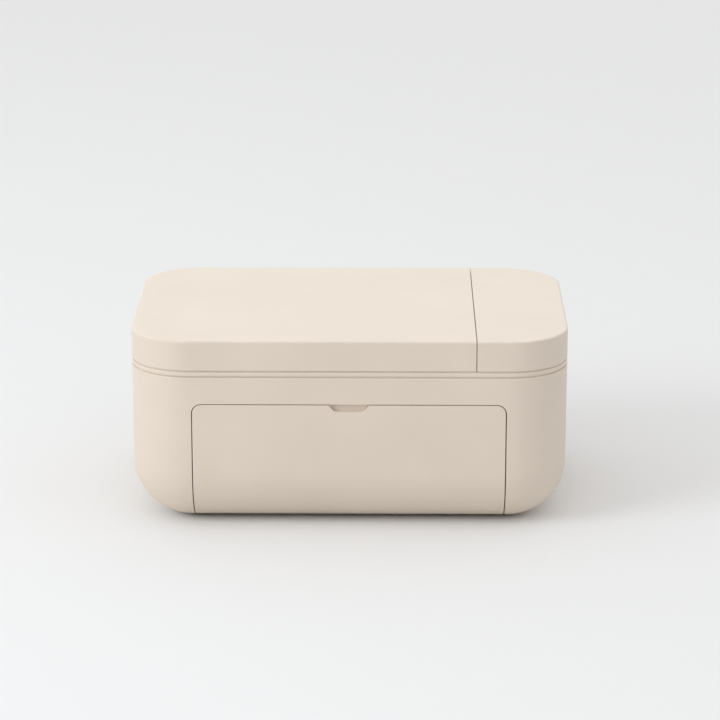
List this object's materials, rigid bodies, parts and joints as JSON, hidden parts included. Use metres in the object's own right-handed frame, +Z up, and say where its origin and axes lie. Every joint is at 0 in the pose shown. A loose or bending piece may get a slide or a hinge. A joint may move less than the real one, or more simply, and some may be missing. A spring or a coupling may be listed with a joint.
{
  "type": "portable photo printer",
  "caption": "Portable photo printer: rounded case, hinged lid carrying the thermal head over a ribbon cartridge, and a fold-down front door for the paper cassette.",
  "frame": {"origin": "on the surface that the feet stand on, under the middle of the case", "axes": "+X to the right along the front, +Y from front to back, +Z up"},
  "size_m": [0.1944, 0.1274, 0.0878],
  "materials": {
    "case": "fine satin texture, warm cream",
    "inner_plastic": "fine satin texture, dark grey",
    "steel": "zinc-plated sheet and bar",
    "polished_steel": "ground and polished",
    "aluminium": "extruded, satin",
    "bronze": "sintered bronze",
    "brass": "machined",
    "rubber": "ground rubber",
    "foot_rubber": "soft warm grey rubber",
    "gear_plastic": "natural acetal",
    "film": "glossy dye film",
    "spool": "light grey moulded plastic",
    "ceramic": "glazed ceramic",
    "board": "solder mask",
    "chip": "moulded black epoxy",
    "magnet": "nickel-plated",
    "lens": "frosted clear plastic"
  },
  "bodies": {
    "case": {"outer_shell": "case", "trim_ring": "case", "top_deck": "case", "side_cap": "case", "front_bay": "inner_plastic", "door_hinge_pins": "polished_steel", "latch_magnets": "magnet", "lid_hinge_brackets": "steel", "lid_hinge_pins": "polished_steel", "rubber_feet": "foot_rubber", "power_light": "lens", "case_screws": "steel", "chassis_base": "steel", "left_side_frame": "steel", "right_side_frame": "steel", "gear_plate": "steel", "cross_beams": "steel", "cassette_rails": "inner_plastic", "exit_guide": "inner_plastic", "rear_guide": "inner_plastic", "roller_bushes": "bronze", "gear_posts": "polished_steel", "feed_motor": "steel", "ribbon_motor": "steel", "cartridge_frame": "spool", "ink_film": "film", "main_board": "board", "board_chips": "chip", "power_board": "board", "dc_inlet": "chip", "usb_port": "steel", "fan_frame": "inner_plastic"},
    "lid": {"lid": "case", "lid_strikers": "steel", "head_carrier": "inner_plastic", "head_springs": "polished_steel"},
    "head": {"heat_sink": "aluminium", "head_strip": "ceramic"},
    "door": {"front_door": "case", "door_strikers": "steel"},
    "button": {"power_button": "case"},
    "feed": {"feed_roller": "polished_steel", "feed_gear": "gear_plastic"},
    "pinch": {"pinch_roller": "polished_steel"},
    "platen": {"platen_shaft": "polished_steel", "platen_rubber": "rubber", "platen_gear": "gear_plastic"},
    "pickup": {"pickup_shaft": "polished_steel", "pickup_tyres": "rubber", "pickup_gear": "gear_plastic"},
    "compound": {"compound_gear": "gear_plastic"},
    "idler": {"pickup_idler": "gear_plastic"},
    "pinion": {"feed_pinion": "brass"},
    "takeup": {"takeup_gear": "gear_plastic", "takeup_spool": "spool", "takeup_roll": "film"},
    "ribbon_drive": {"ribbon_pinion": "brass"},
    "supply": {"supply_spool": "spool", "supply_roll": "film"},
    "fan": {"fan_rotor": "inner_plastic"}
  },
  "joints": [
    {"name": "lid_hinge", "type": "hinge", "parent": "case", "child": "lid", "pos_m": [0, 0.0617, 0.0777], "axis": [-1, 0, 0], "range_deg": [0, 100]},
    {"name": "head_press", "type": "slide", "parent": "lid", "child": "head", "axis": [0, 0, 1], "range_m": [0, 0.0015], "stiffness_N_per_m": 400, "springref_m": -0.004, "deforming": ["head_springs"]},
    {"name": "door_hinge", "type": "hinge", "parent": "case", "child": "door", "pos_m": [0, -0.05225, 0.0121], "axis": [1, 0, 0], "range_deg": [0, 90]},
    {"name": "button_press", "type": "slide", "parent": "case", "child": "button", "axis": [-1, 0, 0], "range_m": [0, 0.0008], "stiffness_N_per_m": 500, "springref_m": -0.001},
    {"name": "feed_spin", "type": "hinge", "parent": "case", "child": "feed", "pos_m": [0, 0.02475, 0.03815], "axis": [1, 0, 0], "continuous": true},
    {"name": "pinch_spin", "type": "hinge", "parent": "case", "child": "pinch", "pos_m": [0, 0.02475, 0.04485], "axis": [1, 0, 0], "continuous": true},
    {"name": "platen_spin", "type": "hinge", "parent": "case", "child": "platen", "pos_m": [0, 0.00675, 0.03565], "axis": [1, 0, 0], "continuous": true},
    {"name": "pickup_spin", "type": "hinge", "parent": "case", "child": "pickup", "pos_m": [0, -0.02125, 0.03115], "axis": [1, 0, 0], "continuous": true},
    {"name": "compound_spin", "type": "hinge", "parent": "case", "child": "compound", "pos_m": [0.063, 0.01949, 0.02821], "axis": [1, 0, 0], "continuous": true},
    {"name": "idler_spin", "type": "hinge", "parent": "case", "child": "idler", "pos_m": [0.0668, 0.00171, 0.02613], "axis": [1, 0, 0], "continuous": true},
    {"name": "pinion_spin", "type": "hinge", "parent": "case", "child": "pinion", "pos_m": [0.066, 0.03756, 0.02567], "axis": [1, 0, 0], "continuous": true},
    {"name": "takeup_spin", "type": "hinge", "parent": "case", "child": "takeup", "pos_m": [0, 0.03475, 0.05665], "axis": [1, 0, 0], "continuous": true},
    {"name": "ribbon_drive_spin", "type": "hinge", "parent": "case", "child": "ribbon_drive", "pos_m": [0.066, 0.03857, 0.0424], "axis": [1, 0, 0], "continuous": true},
    {"name": "supply_spin", "type": "hinge", "parent": "case", "child": "supply", "pos_m": [0, -0.02125, 0.05665], "axis": [1, 0, 0], "continuous": true},
    {"name": "fan_spin", "type": "hinge", "parent": "case", "child": "fan", "pos_m": [-0.09, 0, 0.042], "axis": [1, 0, 0], "continuous": true}
  ],
  "couplings": [
    {"joint": "compound_spin", "follows": "feed_spin", "ratio": -0.77778},
    {"joint": "platen_spin", "follows": "feed_spin", "ratio": 0.58333},
    {"joint": "pinion_spin", "follows": "feed_spin", "ratio": 2.5926},
    {"joint": "idler_spin", "follows": "feed_spin", "ratio": 0.42424},
    {"joint": "pickup_spin", "follows": "feed_spin", "ratio": -0.41176},
    {"joint": "pinch_spin", "follows": "feed_spin", "ratio": -1.1667},
    {"joint": "ribbon_drive_spin", "follows": "takeup_spin", "ratio": -2.5},
    {"joint": "supply_spin", "follows": "takeup_spin", "ratio": -0.59574}
  ]
}
